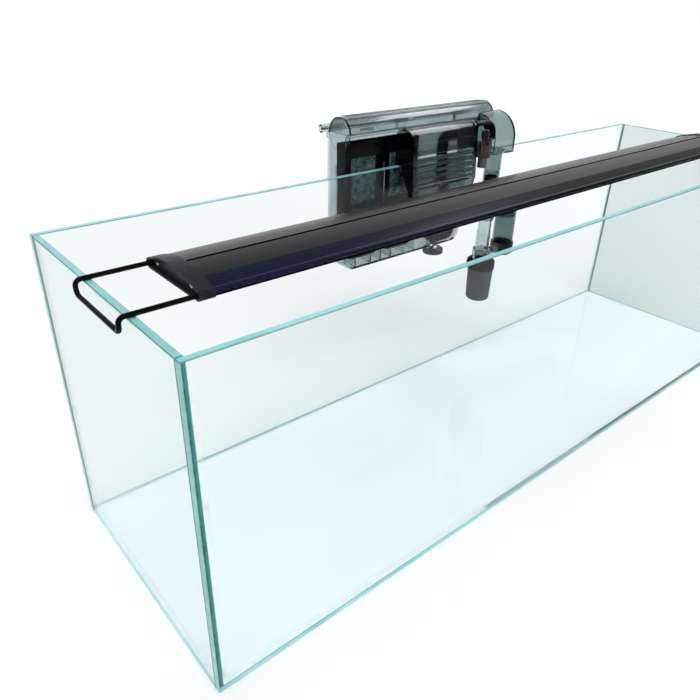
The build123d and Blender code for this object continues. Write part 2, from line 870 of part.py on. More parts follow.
def strainer_core():
    """Slotted tube inside the sponge."""
    top = inner_tube_bottom - strainer_collar_height
    low = top - strainer_core_length
    core = post(intake_x, intake_y, low, top, strainer_core_radius)
    bore = strainer_core_radius - strainer_core_wall
    core -= post(intake_x, intake_y, low + strainer_core_wall, top + over, bore)
    slot_length = strainer_core_length - 2 * strainer_slot_margin
    for n in range(strainer_slots // 2):
        cut = Box(4 * strainer_core_radius, strainer_slot_width, slot_length)
        core -= Pos(intake_x, intake_y, (low + top) / 2) * Rot(0, 0, 360 / strainer_slots * n) * cut
    return core


def sponge():
    """Dark foam sleeve, closed and rounded at its bottom, slightly tapered."""
    top = inner_tube_bottom - strainer_collar_height - seat_gap
    low = top - sponge_length
    foam = Pos(intake_x, intake_y, top) * Rot(180, 0, 0) * Pos(0, 0, sponge_length / 2) * Cone(
        strainer_radius, strainer_radius - sponge_taper, sponge_length
    )
    foam = fillet(foam.edges().group_by(Axis.Z)[0], sponge_round)
    return foam - post(intake_x, intake_y, low + sponge_floor, top + over, strainer_core_radius + seat_gap)


def skimmer_elbow():
    """Black tee: a ring on the intake tube, a branch and the cup under the skimmer."""
    cup_top = cup_low + skimmer_cup_height
    cup = post(skimmer_x, intake_y, cup_low, cup_top, skimmer_cup_radius)
    cup = chamfer(cup.edges().group_by(Axis.Z)[0], skimmer_cup_chamfer)
    ring_top = tee_low + tee_ring_height
    tee = post(intake_x, intake_y, tee_low, ring_top, tee_ring_radius) + cup
    tee += bar_x(intake_x, skimmer_x, intake_y, branch_z, branch_radius)
    tee -= post(intake_x, intake_y, tee_low - over, ring_top + over, inner_tube_radius + running_fit)
    tee -= post(skimmer_x, intake_y, skimmer_low, cup_top + over, skimmer_radius + running_fit)
    well_low = cup_low + skimmer_cup_floor
    tee -= post(skimmer_x, intake_y, well_low, cup_top + over, skimmer_radius - skimmer_wall)
    return tee - bar_x(intake_x, skimmer_x, intake_y, branch_z, branch_bore)


def skimmer_tube():
    """Smoke-clear tube with an inner ledge that the float rests on."""
    bore = skimmer_radius - skimmer_wall
    tube = pipe(skimmer_x, intake_y, skimmer_low, skimmer_top, skimmer_radius, bore)
    ledge_top = float_low - seat_gap
    return tube + pipe(
        skimmer_x, intake_y, ledge_top - float_seat_height, ledge_top,
        skimmer_radius - skimmer_wall / 2, float_radius - float_wall,
    )


def skimmer_float():
    """Floating sleeve that follows the water level."""
    float_top = float_low + float_length
    return pipe(skimmer_x, intake_y, float_low, float_top, float_radius, float_radius - float_wall)


def skimmer_crown():
    """Slotted ring on the top of the skimmer."""
    z0 = skimmer_top - crown_overlap
    z1 = z0 + crown_height + crown_overlap
    bore = skimmer_radius + running_fit
    crown = pipe(skimmer_x, intake_y, z0, z1, bore + crown_wall, bore)
    slot_z = z1 - crown_ring - crown_slot_height / 2
    for n in range(crown_slots // 2):
        cut = Box(3 * skimmer_radius, crown_slot_width, crown_slot_height)
        crown -= Pos(skimmer_x, intake_y, slot_z) * Rot(0, 0, 360 / crown_slots * n) * cut
    return crown


# Pump

def motor_housing():
    """Sealed black motor block with the well of the rotor; its feet follow the body's corners."""
    case = block(
        pump_x - motor_width / 2, pump_x + motor_width / 2, chamber_y - motor_depth / 2,
        chamber_y + motor_depth / 2, motor_low, motor_top,
    )
    case = fillet(case.edges().filter_by(Axis.Y).group_by(Axis.Z)[0], filter_corner - filter_wall)
    case = fillet(case.edges().filter_by(Axis.Z), motor_corner)
    well = rotor_radius + rotor_clearance
    return case - post(pump_x, chamber_y, motor_low + motor_floor, motor_top + over, well)


def impeller():
    """Magnet rotor with a hub plate and straight blades."""
    low = motor_low + motor_floor + seat_gap
    high = low + rotor_length
    plate_z = motor_top + blade_clearance
    rotor = post(pump_x, chamber_y, low, high, rotor_radius)
    rotor += post(pump_x, chamber_y, high - over, plate_z + hub_plate, rotor_radius - rotor_neck)
    rotor += post(pump_x, chamber_y, plate_z, plate_z + hub_plate, blade_radius)
    for n in range(blade_count):
        blade = Pos(blade_radius / 2, 0, blade_height / 2) * Box(blade_radius, blade_thickness, blade_height)
        rotor += Pos(pump_x, chamber_y, plate_z) * Rot(0, 0, 360 / blade_count * n) * blade
    top = plate_z + blade_height
    rotor = rotor & post(pump_x, chamber_y, low, top, blade_radius)
    return rotor - post(pump_x, chamber_y, low - over, top + over, shaft_radius + running_fit)


def impeller_shaft():
    """Ceramic shaft seated in the floor of the well and in the volute cover."""
    low = motor_low + motor_floor
    return post(pump_x, chamber_y, low, motor_top + volute_height, shaft_radius)


def volute_cover():
    """Cover over the blades, with a spider for the shaft and an outlet in its side."""
    top = motor_top + volute_height
    cover = post(pump_x, chamber_y, motor_top, top, volute_radius)
    cover -= post(pump_x, chamber_y, motor_top - over, top - volute_wall, volute_radius - volute_wall)
    cover -= post(pump_x, chamber_y, motor_top, top + over, riser_bore)
    spider = Box(2 * riser_bore + over, spider_width, volute_wall)
    cover += Pos(pump_x, chamber_y, top - volute_wall / 2) * spider
    cover += post(pump_x, chamber_y, top - volute_wall - shaft_boss_drop, top, shaft_radius + shaft_boss_wall)
    cover -= post(pump_x, chamber_y, motor_top, top + over, shaft_radius)
    outlet_low = motor_top + outlet_rise
    return cover - block(
        pump_x - volute_radius - over, pump_x - volute_radius / 2,
        chamber_y - outlet_width / 2, chamber_y + outlet_width / 2, outlet_low, outlet_low + outlet_height,
    )


def inlet_riser():
    """Pipe from the elbow's spigot down to the volute, with a plate that closes the spigot's end."""
    low = motor_top + volute_height
    turn_x = spigot_left + spigot_width / 2
    path = FilletPolyline(
        (pump_x, chamber_y, low), (pump_x, chamber_y, riser_top), (turn_x, chamber_y, riser_top),
        (turn_x, spigot_back, riser_top),
        radius=riser_bend,
    )
    start = Plane(origin=path @ 0, z_dir=path % 0)
    riser = sweep(start * Circle(riser_radius), path=path)
    riser += block(
        spigot_left, spigot_left + spigot_width, spigot_back, spigot_back + riser_plate,
        spigot_low, spigot_low + spigot_height,
    )
    bore = sweep(start * Circle(riser_bore), path=path)
    return riser - bore


def filter_gland():
    """Cord inlet on the back of the filter body."""
    x = pump_x + filter_gland_offset
    z = body_floor + filter_gland_rise
    gland = bar_y(x, body_back, body_back + filter_gland_length, z, filter_gland_radius)
    gland = chamfer(gland.edges().group_by(Axis.Y)[-1], gland_chamfer)
    return gland - bar_y(x, body_back - over, body_back + filter_gland_length + over, z, filter_gland_bore)


# Cartridges

def cartridge_left_edge(index):
    """Left edge of a cartridge, centred between the walls of its chamber."""
    free = cartridge_pitch - divider_thickness - cartridge_width
    return body_left + filter_wall + index * cartridge_pitch + free / 2


def cartridge_frame(index):
    """Black basket with two windows a side, slots beside them and a lifting handle."""
    x0 = cartridge_left_edge(index)
    x1 = x0 + cartridge_width
    y0 = cartridge_front
    y1 = cartridge_back
    z0 = cartridge_low
    wall = cartridge_wall
    basket_top = z0 + cartridge_basket_height
    top = z0 + cartridge_height
    frame = block(x0, x1, y0, y1, z0, top)
    low_edges = frame.edges().filter_by(Axis.Y).group_by(Axis.Z)[0]
    frame = fillet(low_edges, filter_corner - filter_wall)
    frame -= block(x0 + wall, x1 - wall, y0 + wall, y1 - wall, z0 + wall, top - wall)
    frame -= block(
        x0 + cartridge_handle, x1 - cartridge_handle, y0 - over, y1 + over,
        basket_top + cartridge_handle_gap, top - wall,
    )
    middle = (z0 + basket_top) / 2
    for low, high in ((z0 + window_margin, middle - cartridge_bar / 2),
                      (middle + cartridge_bar / 2, basket_top - window_margin)):
        frame -= block(x0 + window_margin, x1 - window_margin, y0 - over, y1 + over, low, high)
        slot_z = (low + high) / 2
        for x in (x0 + slot_inset, x1 - slot_inset):
            frame -= block(
                x - slot_width / 2, x + slot_width / 2, y0 - over, y0 + wall + over,
                slot_z - slot_height / 2, slot_z + slot_height / 2,
            )
    return frame


def cartridge_pad(index):
    """Filter floss that fills the basket."""
    x0 = cartridge_left_edge(index) + cartridge_wall + seat_gap
    x1 = cartridge_left_edge(index) + cartridge_width - cartridge_wall - seat_gap
    y0 = cartridge_front + cartridge_wall + seat_gap
    y1 = cartridge_back - cartridge_wall - seat_gap
    z0 = cartridge_low + cartridge_wall + seat_gap
    pad = block(x0, x1, y0, y1, z0, z0 + cartridge_basket_height - 2 * cartridge_wall)
    low_edges = pad.edges().filter_by(Axis.Y).group_by(Axis.Z)[0]
    return fillet(low_edges, filter_corner - filter_wall)


# Flow valve and levelling wheel

def fluted(x, y, z0, z1, radius, flutes):
    """A knob with shallow grip flutes round its edge."""
    knob = post(x, y, z0, z1, radius)
    for n in range(flutes):
        turn = 2 * pi * n / flutes
        reach = radius + flute_reach
        knob -= post(x + reach * cos(turn), y + reach * sin(turn), z0 - over, z1 + over, flute_radius)
    return knob


def flow_valve():
    """Valve knob under its arm, with the spindle above and the stem below."""
    knob_top = saddle_z + valve_knob_height
    valve = fluted(valve_x, valve_y, saddle_z, knob_top, valve_knob_radius, valve_flutes)
    valve += post(valve_x, valve_y, saddle_z - valve_stem_length, saddle_z, valve_stem_radius)
    spindle_top = valve_arm_low + valve_spindle_length - valve_spindle_play
    return valve + post(valve_x, valve_y, knob_top, spindle_top, valve_spindle_radius)


def levelling_wheel():
    """Eccentric wheel under the body; its edge bears on the back pane."""
    top = body_floor - wheel_boss_height - seat_gap
    wheel = fluted(
        wheel_x, wheel_y - wheel_throw, top - wheel_thickness, top, wheel_radius, wheel_flutes,
    )
    return wheel + post(wheel_x, wheel_y, top - over, top + seat_gap + wheel_stem_length, wheel_stem_radius)


save(bottom_pane(), "bottom_pane")
save(long_pane(-1), "front_pane")
save(long_pane(1), "back_pane")
save(end_pane(-1), "left_end_pane")
save(end_pane(1), "right_end_pane")
save(silicone(), "silicone_seams")
save(light_housing(), "light_housing")
save(light_cap(-1), "light_cap_left")
save(light_cap(1), "light_cap_right")
save(cap_screws(), "light_cap_screws")
save(lens_plate(), "light_lens")
save(led_board(), "led_board")
save(led_chips(), "led_chips")
save(light_gland(), "light_cord_gland")
save(wire_leg(-1), "left_wire_leg")
save(wire_leg(1), "right_wire_leg")
save(filter_body(), "filter_body")
save(filter_lid(), "filter_lid")
save(hinge_pin(), "lid_hinge_pin")
save(outlet_spout(), "outlet_spout")
save(intake_elbow(), "intake_elbow")
save(intake_sleeve(), "intake_sleeve")
save(intake_inner_tube(), "intake_inner_tube")
save(intake_seal(), "intake_seal")
save(strainer_collar(), "strainer_collar")
save(strainer_core(), "strainer_core")
save(sponge(), "prefilter_sponge")
save(skimmer_elbow(), "skimmer_elbow")
save(skimmer_tube(), "skimmer_tube")
save(skimmer_float(), "skimmer_float")
save(skimmer_crown(), "skimmer_crown")
save(motor_housing(), "motor_housing")
save(impeller(), "impeller")
save(impeller_shaft(), "impeller_shaft")
save(volute_cover(), "volute_cover")
save(inlet_riser(), "inlet_riser")
save(filter_gland(), "filter_cord_gland")
save(cartridge_frame(0), "cartridge_frame_left")
save(cartridge_pad(0), "cartridge_pad_left")
save(cartridge_frame(1), "cartridge_frame_right")
save(cartridge_pad(1), "cartridge_pad_right")
save(flow_valve(), "flow_valve")
save(levelling_wheel(), "levelling_wheel")
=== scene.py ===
import bpy
import bmesh
import math
import random
from mathutils import Matrix, Vector, noise


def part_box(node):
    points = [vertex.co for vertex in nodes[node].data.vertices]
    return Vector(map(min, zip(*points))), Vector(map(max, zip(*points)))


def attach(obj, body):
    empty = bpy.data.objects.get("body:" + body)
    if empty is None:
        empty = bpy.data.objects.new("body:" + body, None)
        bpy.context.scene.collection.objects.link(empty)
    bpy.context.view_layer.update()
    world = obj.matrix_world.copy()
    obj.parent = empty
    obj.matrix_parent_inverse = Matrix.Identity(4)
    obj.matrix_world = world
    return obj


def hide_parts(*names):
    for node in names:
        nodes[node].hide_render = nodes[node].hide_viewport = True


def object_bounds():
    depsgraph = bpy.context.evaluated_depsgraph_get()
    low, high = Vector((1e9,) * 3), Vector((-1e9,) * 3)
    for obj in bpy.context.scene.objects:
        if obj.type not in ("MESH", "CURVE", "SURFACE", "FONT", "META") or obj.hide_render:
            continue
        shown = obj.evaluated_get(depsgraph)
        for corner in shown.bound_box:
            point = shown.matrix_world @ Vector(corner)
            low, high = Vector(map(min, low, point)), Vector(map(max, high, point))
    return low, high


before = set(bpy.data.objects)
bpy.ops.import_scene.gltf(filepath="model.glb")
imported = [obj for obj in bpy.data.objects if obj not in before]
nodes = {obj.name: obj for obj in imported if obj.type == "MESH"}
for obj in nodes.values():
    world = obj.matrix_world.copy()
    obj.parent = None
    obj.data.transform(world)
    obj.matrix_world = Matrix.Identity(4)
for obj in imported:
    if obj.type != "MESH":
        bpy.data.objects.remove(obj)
cad_low, cad_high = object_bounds()

# Where the materials change, read off the solids, in metres (the lid's turns in degrees).
LID_AXIS = (0.1405, 0.331)
LID_RIB_FIRST = 62.0
LID_RIB_STEP = 22.0
LID_RIB_MIDDLE = 95.0
LID_RIB_REACH = 40.0
JOINT_START = 0.4442
JOINT_RAMP = (0.4441, 0.4499)
# The groove and underside bounds mark where the housing is painted near black as shade.
GROOVE_Y = -0.0250
GROOVE_HALF_WIDTH = 0.0015
RIDGES_Y = -0.0494
UNDERSIDE_Z = 0.2915
# Span along the bar over which the painted bluish glints fade out.
GLINT_FADE = (-0.36, 0.0)
VALVE_STEM_TOP = 0.2903
CUP_START, CUP_END = 0.118, 0.132


class Look:
    """A node material under construction, read in the node's own frame, in metres."""

    def __init__(self, name):
        self.mat = bpy.data.materials.new(name)
        self.mat.use_nodes = True
        self.tree = self.mat.node_tree
        self.shader = self.tree.nodes["Principled BSDF"]
        self.out = self.tree.nodes["Material Output"]
        self.coord = self.tree.nodes.new("ShaderNodeTexCoord")

    def node(self, kind, **inputs):
        made = self.tree.nodes.new(kind)
        for key, value in inputs.items():
            self.put(made.inputs[key.replace("_", " ")], value)
        return made

    def put(self, socket, value):
        if isinstance(value, bpy.types.NodeSocket):
            self.tree.links.new(value, socket)
        elif isinstance(value, tuple) and len(value) == 3 and len(socket.default_value) == 4:
            socket.default_value = (*value, 1.0)
        else:
            socket.default_value = value

    def place(self, scale=(1, 1, 1)):
        return self.node("ShaderNodeMapping", Vector=self.coord.outputs["Object"], Scale=scale).outputs[0]

    def noise(self, scale, detail=3.0, rough=0.55, stretch=(1, 1, 1)):
        made = self.node("ShaderNodeTexNoise", Vector=self.place(stretch), Scale=scale, Detail=detail,
                         Roughness=rough)
        return made.outputs["Fac"]

    def cells(self, scale):
        return self.node("ShaderNodeTexVoronoi", Vector=self.place(), Scale=scale).outputs["Distance"]

    def ramp(self, value, *stops):
        made = self.node("ShaderNodeValToRGB", Fac=value)
        band = made.color_ramp
        while len(band.elements) < len(stops):
            band.elements.new(0.5)
        for element, (where, colour) in zip(band.elements, stops):
            element.position = where
            element.color = (*colour, 1.0)
        return made.outputs["Color"]

    def span(self, value, low, high, start=0.0, end=1.0):
        made = self.node("ShaderNodeMapRange", Value=value)
        made.inputs["From Min"].default_value = start
        made.inputs["From Max"].default_value = end
        made.inputs["To Min"].default_value = low
        made.inputs["To Max"].default_value = high
        return made.outputs["Result"]

    def math(self, kind, a, b=0.0):
        made = self.tree.nodes.new("ShaderNodeMath")
        made.operation = kind
        self.put(made.inputs[0], a)
        self.put(made.inputs[1], b)
        return made.outputs[0]

    def mix(self, factor, a, b, kind="MIX"):
        made = self.tree.nodes.new("ShaderNodeMix")
        made.data_type = "RGBA"
        made.blend_type = kind
        self.put(made.inputs["Factor"], factor)
        self.put(made.inputs[6], a)
        self.put(made.inputs[7], b)
        return made.outputs[2]

    def axis(self, index):
        return self.node("ShaderNodeSeparateXYZ", Vector=self.coord.outputs["Object"]).outputs[index]

    def facing(self, index, limit=0.9):
        """1 where the surface faces along an axis, 0 elsewhere."""
        geometry = self.tree.nodes.new("ShaderNodeNewGeometry")
        split = self.node("ShaderNodeSeparateXYZ", Vector=geometry.outputs["True Normal"])
        return self.math("GREATER_THAN", self.math("ABSOLUTE", split.outputs[index]), limit)

    def bump(self, height, strength, distance):
        made = self.node("ShaderNodeBump", Height=height, Strength=strength, Distance=distance)
        self.tree.links.new(made.outputs[0], self.shader.inputs["Normal"])

    def set(self, **inputs):
        for key, value in inputs.items():
            self.put(self.shader.inputs[key.replace("_", " ")], value)

    def lets_light_through(self, tint):
        """Lamps shine through it: for shadow rays the surface is a tinted opening."""
        light = self.tree.nodes.new("ShaderNodeLightPath")
        clear = self.node("ShaderNodeBsdfTransparent", Color=tint)
        mixed = self.node("ShaderNodeMixShader", Fac=light.outputs["Is Shadow Ray"])
        self.tree.links.new(self.shader.outputs[0], mixed.inputs[1])
        self.tree.links.new(clear.outputs[0], mixed.inputs[2])
        self.tree.links.new(mixed.outputs[0], self.out.inputs["Surface"])
        return self


def plastic(name, colour, rough, grain=0.35, size=1500.0, shade=0.25, gloss=0.4):
    """Moulded plastic or painted metal: fine grain, uneven gloss, slightly uneven colour."""
    look = Look(name)
    cloud = look.noise(60.0, 4.0)
    fine = look.noise(size, 2.0)
    dark = tuple(c * (1 - shade) for c in colour)
    pale = tuple(min(1.0, c * (1 + shade) + 0.002) for c in colour)
    look.set(
        Base_Color=look.ramp(cloud, (0.3, dark), (0.7, pale)),
        Roughness=look.span(look.noise(220.0, 3.0), rough * 0.8, min(1.0, rough * 1.25), 0.3, 0.7),
        Specular_IOR_Level=gloss,
    )
    look.bump(fine, grain, 0.00006)
    return look


def clear(name, colour, rough, ior=1.2, flow=(1, 1, 1), shade=0.06, wave=0.12, grazing_shade=0.5, mirror=0.5):
    """Clear or smoke plastic: tinted all through, faint moulding waves, hairline scuffs in the gloss, painted
    shade at grazing angles.
    """
    look = Look(name)
    cloud = look.noise(45.0, 3.0, stretch=flow)
    dark = tuple(c * (1 - shade) for c in colour)
    pale = tuple(min(1.0, c * (1 + shade)) for c in colour)
    scuff = look.noise(900.0, 2.0, stretch=(1, 0.08, 1))
    # Painted shade: towards grazing angles the colour darkens to a darker copy of itself, standing in for the dark
    # edges of thick clear plastic.
    slant = look.node("ShaderNodeLayerWeight", Blend=0.35).outputs["Facing"]
    body = look.ramp(cloud, (0.3, dark), (0.7, pale))
    tone_with_painted_shade = tuple(c * (1 - grazing_shade) * 0.5 for c in colour)
    look.set(
        Base_Color=look.mix(look.span(slant, 0.0, grazing_shade, 0.25, 0.85), body, tone_with_painted_shade),
        Roughness=look.span(scuff, rough * 0.4, rough * 1.5, 0.35, 0.7),
        Transmission_Weight=1.0, IOR=ior, Specular_Tint=(mirror, mirror, mirror),
    )
    look.bump(cloud, wave, 0.0004)
    return look.lets_light_through(tuple(min(1.0, c ** 0.5) for c in colour))


def pane_glass(name, index, pale):
    """Float glass: clear broad faces in the given tint, teal polished edges, the chamfers painted a darker teal as
    shade.
    """
    look = Look(name)
    broad = look.facing(index)
    upward = look.facing(2, 0.5)
    level = look.facing(2, 0.95)
    streak = look.noise(160.0, 3.0, stretch=(0.12, 0.12, 1.0))
    top = look.ramp(streak, (0.25, (0.19, 0.50, 0.51)), (0.75, (0.32, 0.66, 0.68)))
    # Painted shade: the chamfers get a darker teal than the flat edge faces.
    chamfer_shade = look.ramp(streak, (0.25, (0.10, 0.27, 0.28)), (0.75, (0.20, 0.42, 0.43)))
    side = look.ramp(streak, (0.25, (0.26, 0.56, 0.50)), (0.75, (0.44, 0.72, 0.67)))
    edge = look.mix(upward, side, look.mix(level, chamfer_shade, top))
    # The given tint carries painted shade, since it differs from pane to pane.
    tint = look.ramp(look.noise(5.0, 2.0), (0.3, tuple(c - 0.012 for c in pale)), (0.7, pale))
    clean = look.span(look.noise(35.0, 4.0), 0.0, 0.014, 0.35, 0.8)
    look.set(
        Base_Color=look.mix(broad, edge, tint),
        Roughness=look.math("ADD", look.span(broad, 0.1, 0.0), clean),
        Transmission_Weight=look.math("MAXIMUM", broad, look.span(upward, 0.25, 0.12)),
        IOR=1.2,
    )
    look.bump(look.noise(9.0, 1.0), 0.02, 0.002)
    return look.lets_light_through((0.93, 0.965, 0.962))


def silicone_look():
    """Clear silicone: a faint glossy skin in the corners, and teal bands in the upright joints painted as light
    and shade.
    """
    look = Look("clear_silicone")
    wave = look.noise(140.0, 3.0)
    outward = look.math("ABSOLUTE", look.axis(0))
    film = look.math("GREATER_THAN", outward, JOINT_START)
    bead = look.ramp(wave, (0.3, (0.66, 0.80, 0.79)), (0.7, (0.82, 0.90, 0.90)))
    depth = look.span(outward, 0.0, 1.0, *JOINT_RAMP)
    depth = look.math("ADD", depth, look.span(wave, -0.12, 0.12, 0.3, 0.7))
    # Painted light and shade: across each upright joint a pale teal band, a near-black line, then mid teal.
    joint_light_and_shade = look.ramp(
        depth,
        (0.0, (0.26, 0.74, 0.68)),
        (0.45, (0.12, 0.58, 0.54)),
        (0.62, (0.0, 0.12, 0.115)),
        (1.0, (0.03, 0.32, 0.30)),
    )
    look.set(
        Base_Color=look.mix(film, bead, joint_light_and_shade),
        Roughness=look.span(wave, 0.08, 0.25, 0.3, 0.7),
        Specular_IOR_Level=0.3,
        Alpha=look.math("ADD", look.span(film, 0.05, 0.84), look.span(wave, 0.0, 0.06, 0.3, 0.7)),
    )
    look.bump(wave, 0.1, 0.0004)
    return look


def housing_look():
    """Black anodised extrusion, satin, with speckled front ridges; painted: a lighter strip behind the groove,
    near-black groove and underside, bluish glints.
    """
    look = Look("black_anodised")
    y = look.axis(1)
    draw = look.noise(700.0, 3.0, stretch=(0.02, 1, 1))
    speck = look.noise(2300.0, 2.0)
    front = look.ramp(draw, (0.3, (0.0045, 0.0043, 0.0038)), (0.7, (0.0095, 0.009, 0.008)))
    # Painted light: the strip behind the groove is a lighter, warmer copy of the front colour, standing in for
    # reflected light.
    rear_painted_light = look.ramp(draw, (0.3, (0.013, 0.0122, 0.0105)), (0.7, (0.025, 0.0235, 0.021)))
    # Painted glints: the ridge speckle turns bluish towards the left end of the bar and fades out along it.
    bluish_glints = look.ramp(speck, (0.42, (0.001, 0.0015, 0.003)), (0.68, (0.018, 0.030, 0.095)))
    plain = look.ramp(speck, (0.42, (0.001, 0.001, 0.0015)), (0.70, (0.006, 0.007, 0.012)))
    ridge = look.mix(look.span(look.axis(0), 0.0, 1.0, *GLINT_FADE), bluish_glints, plain)
    behind = look.math("GREATER_THAN", y, GROOVE_Y)
    ridges = look.math("LESS_THAN", y, RIDGES_Y)
    # Painted shade: near black, with no gloss and high roughness, in the groove and on the underside.
    from_groove = look.math("ABSOLUTE", look.math("SUBTRACT", y, GROOVE_Y))
    groove = look.math("LESS_THAN", from_groove, GROOVE_HALF_WIDTH)
    under = look.math("LESS_THAN", look.axis(2), UNDERSIDE_Z)
    dark = look.math("MAXIMUM", groove, under)
    colour = look.mix(ridges, look.mix(behind, front, rear_painted_light), ridge)
    satin = look.span(draw, 0.24, 0.36, 0.3, 0.7)
    look.set(
        Base_Color=look.mix(dark, colour, (0.0008, 0.0008, 0.0008)),
        Specular_IOR_Level=look.span(dark, 0.11, 0.0),
        Roughness=look.math("MAXIMUM", satin, look.span(dark, 0.0, 0.9)),
    )
    look.bump(draw, 0.25, 0.00008)
    return look


def board_look():
    """White board with a faint pebbled mask."""
    look = Look("white_board")
    mask = look.noise(900.0, 2.0)
    look.set(
        Base_Color=look.ramp(mask, (0.35, (0.62, 0.64, 0.62)), (0.65, (0.74, 0.75, 0.73))),
        Roughness=look.span(mask, 0.3, 0.5), Coat_Weight=0.2,
    )
    look.bump(look.cells(420.0), 0.15, 0.0001)
    return look


def chip_look():
    """Yellow resin of the lamps."""
    look = Look("lamp_resin")
    spot = look.noise(1200.0, 2.0)
    look.set(
        Base_Color=look.ramp(spot, (0.3, (0.75, 0.62, 0.20)), (0.7, (0.86, 0.78, 0.42))),
        Roughness=look.span(spot, 0.2, 0.4), Coat_Weight=0.4,
    )
    look.bump(spot, 0.1, 0.0001)
    return look


def steel_look():
    """Drawn bright steel."""
    look = Look("bright_steel")
    draw = look.noise(1500.0, 2.0, stretch=(0.03, 1, 1))
    look.set(
        Base_Color=look.ramp(draw, (0.3, (0.42, 0.42, 0.41)), (0.7, (0.60, 0.60, 0.59))),
        Metallic=1.0, Roughness=look.span(draw, 0.18, 0.32),
    )
    look.bump(draw, 0.2, 0.00005)
    return look


def ceramic_look():
    """Glazed white ceramic."""
    look = Look("white_ceramic")
    speck = look.noise(800.0, 2.0)
    look.set(
        Base_Color=look.ramp(speck, (0.3, (0.78, 0.77, 0.73)), (0.7, (0.86, 0.85, 0.82))),
        Roughness=look.span(speck, 0.2, 0.35), Coat_Weight=0.3,
    )
    look.bump(speck, 0.1, 0.00005)
    return look


def foam_look():
    """Grey open-cell foam: pores painted dark as shade between paler walls."""
    look = Look("grey_sponge")
    pore = look.cells(1100.0)
    tone = look.noise(160.0, 4.0)
    # Painted shade: near black in the pores, paler on the walls between them.
    tone_with_painted_shade = look.ramp(
        pore,
        (0.05, (0.006, 0.007, 0.008)),
        (0.35, (0.045, 0.050, 0.057)),
        (0.8, (0.090, 0.098, 0.110)),
    )
    look.set(
        Base_Color=look.mix(look.span(tone, 0.55, 1.0, 0.3, 0.7), (0.02, 0.022, 0.025), tone_with_painted_shade),
        Roughness=look.span(tone, 0.85, 1.0), Sheen_Weight=0.1, Sheen_Roughness=0.6, Specular_IOR_Level=0.1,
    )
    look.bump(pore, 0.9, 0.0006)
    return look


def floss_look():
    """Crimped fibres: pale strands over hollows painted dark as shade, in clumps of a few millimetres with painted
    shade between the clumps.
    """
    look = Look("filter_floss")
    strand = look.noise(620.0, 6.0, 0.7, stretch=(1, 1, 0.45))
    clump = look.noise(210.0, 5.0, 0.65)
    cloud = look.noise(26.0, 3.0)
    # Painted shade: dark hollows between the strands, and darker gaps between the clumps.
    fibre = look.ramp(strand, (0.34, (0.06, 0.085, 0.092)), (0.52, (0.27, 0.34, 0.36)), (0.72, (0.66, 0.73, 0.75)))
    shade = look.ramp(clump, (0.36, (0.10, 0.12, 0.12)), (0.50, (0.55, 0.60, 0.60)), (0.62, (1.0, 1.0, 1.0)))
    tone = look.ramp(cloud, (0.36, (0.40, 0.45, 0.45)), (0.60, (1.0, 1.0, 1.0)))
    look.set(
        Base_Color=look.mix(1.0, look.mix(1.0, fibre, shade, "MULTIPLY"), tone, "MULTIPLY"),
        Roughness=look.span(strand, 0.8, 1.0), Sheen_Weight=0.1, Sheen_Roughness=0.5, Specular_IOR_Level=0.1,
    )
    look.bump(strand, 0.8, 0.0008)
    return look


def valve_look():
    """Dark red knob on a dark grey stem."""
    look = plastic("red_plastic", (0.014, 0.0022, 0.0034), 0.14, grain=0.1, gloss=0.5)
    stem = look.math("LESS_THAN", look.axis(2), VALVE_STEM_TOP)
    cloud = look.noise(90.0, 3.0)
    red = look.ramp(cloud, (0.3, (0.006, 0.0012, 0.0020)), (0.7, (0.018, 0.0030, 0.0045)))
    grey = look.ramp(cloud, (0.3, (0.022, 0.027, 0.028)), (0.7, (0.045, 0.053, 0.055)))
    look.set(Base_Color=look.mix(stem, red, grey))
    return look


def lid_look():
    """Smoke-clear lid with painted shade: a dark line along each of its ribs, and darkening towards grazing
    angles.
    """
    look = clear("smoke_lid", (0.42, 0.49, 0.495), 0.10, ior=1.45, flow=(0.2, 1, 1), grazing_shade=0.7, mirror=0.8)
    # Painted shade: a dark line along each rib, placed by the turn about the lid's axis.
    forward = look.math("SUBTRACT", LID_AXIS[0], look.axis(1))
    rise = look.math("SUBTRACT", look.axis(2), LID_AXIS[1])
    turn = look.math("DEGREES", look.math("ARCTAN2", rise, forward))
    step = look.math("DIVIDE", look.math("SUBTRACT", turn, LID_RIB_FIRST), LID_RIB_STEP)
    apart = look.math("ABSOLUTE", look.math("SUBTRACT", step, look.math("ROUND", step)))
    line = look.span(apart, 1.0, 0.0, 0.05, 0.14)
    from_middle = look.math("ABSOLUTE", look.math("SUBTRACT", turn, LID_RIB_MIDDLE))
    line = look.math("MULTIPLY", line, look.math("LESS_THAN", from_middle, LID_RIB_REACH))
    cloud = look.noise(45.0, 3.0, stretch=(0.2, 1, 1))
    body = look.ramp(cloud, (0.3, (0.38, 0.45, 0.455)), (0.7, (0.46, 0.53, 0.54)))
    # Painted shade: darker towards grazing angles.
    slant = look.node("ShaderNodeLayerWeight", Blend=0.35).outputs["Facing"]
    body = look.mix(look.span(slant, 0.0, 0.7, 0.25, 0.85), body, (0.08, 0.09, 0.09))
    look.set(Base_Color=look.mix(line, body, (0.10, 0.13, 0.13)))
    return look


def tee_look():
    """Smoke-clear ring round the tube that turns to near black in the skimmer's cup."""
    look = clear("smoke_tee", (0.42, 0.48, 0.47), 0.08, grazing_shade=0.8)
    cloud = look.noise(70.0, 3.0)
    cup = look.span(look.axis(0), 0.0, 1.0, CUP_START, CUP_END)
    ring = look.ramp(cloud, (0.3, (0.36, 0.42, 0.41)), (0.7, (0.52, 0.58, 0.57)))
    dark = look.ramp(cloud, (0.3, (0.008, 0.009, 0.009)), (0.7, (0.035, 0.030, 0.024)))
    look.set(Base_Color=look.mix(cup, ring, dark), Transmission_Weight=look.math("SUBTRACT", 1.0, cup))
    return look


